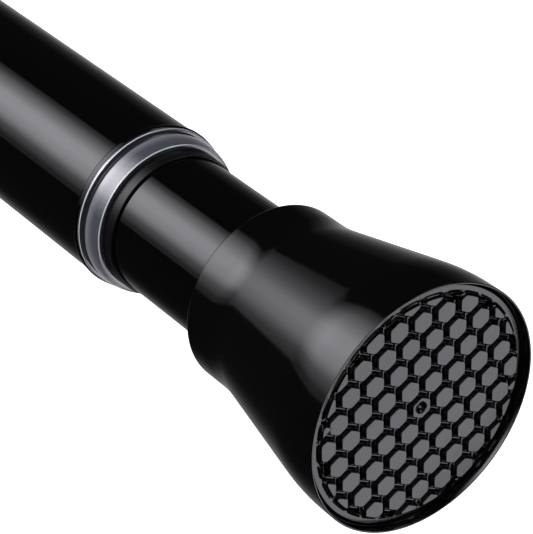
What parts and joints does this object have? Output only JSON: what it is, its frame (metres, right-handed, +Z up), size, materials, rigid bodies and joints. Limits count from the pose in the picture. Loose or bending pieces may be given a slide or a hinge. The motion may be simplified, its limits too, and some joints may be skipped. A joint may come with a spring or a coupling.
{
  "type": "spring tension rod",
  "caption": "Telescoping black steel tension rod with a twist lock and spring inside, and flared feet with honeycomb rubber pads, for hanging a curtain between walls.",
  "frame": {"origin": "centre of the foot on the large tube, in the plane where its rim meets the wall", "axes": "+X along the rod from the large tube's foot to the small tube's foot; +Z up when the rod is hung level"},
  "size_m": [0.42, 0.0318, 0.0318],
  "materials": {
    "black_steel": "gloss black enamel on steel tube",
    "clear_plastic": "clear moulded polycarbonate",
    "black_plastic": "black moulded ABS, satin gloss",
    "black_acetal": "black moulded acetal, smooth",
    "grip_rubber": "black moulded thermoplastic rubber",
    "natural_nylon": "natural moulded nylon",
    "dark_nylon": "black moulded nylon",
    "zinc_steel": "bright zinc-plated steel",
    "spring_steel": "oiled spring steel wire"
  },
  "bodies": {
    "large_tube": {"outer_tube": "black_steel", "clear_collar": "clear_plastic", "wiper_ring": "black_acetal", "outer_end_cap": "black_plastic", "outer_grip_pad": "grip_rubber", "outer_tube_plug": "natural_nylon", "outer_cap_screw": "zinc_steel"},
    "lock_ring": {"cam_ring": "natural_nylon"},
    "lock_core": {"cam_core": "dark_nylon", "cam_washer": "zinc_steel", "cam_screw": "zinc_steel", "spring_rod": "zinc_steel", "rod_washer": "zinc_steel", "rod_nut": "zinc_steel"},
    "small_tube": {"inner_tube": "black_steel", "guide_bush": "dark_nylon", "compression_spring": "spring_steel", "spring_stop": "dark_nylon", "inner_tube_plug": "natural_nylon", "inner_end_cap": "black_plastic", "inner_cap_screw": "zinc_steel", "inner_grip_pad": "grip_rubber"}
  },
  "joints": [
    {"name": "length_adjust", "type": "slide", "parent": "large_tube", "child": "lock_ring", "axis": [1, 0, 0], "range_m": [0, 0.24]},
    {"name": "twist_lock", "type": "hinge", "parent": "lock_ring", "child": "lock_core", "pos_m": [0.03915, 0, 0], "axis": [1, 0, 0], "range_deg": [0, 60]},
    {"name": "spring_travel", "type": "slide", "parent": "lock_core", "child": "small_tube", "axis": [1, 0, 0], "range_m": [-0.018, 0], "stiffness_N_per_m": 1350, "springref_m": 0.012, "deforming": ["compression_spring"]}
  ]
}
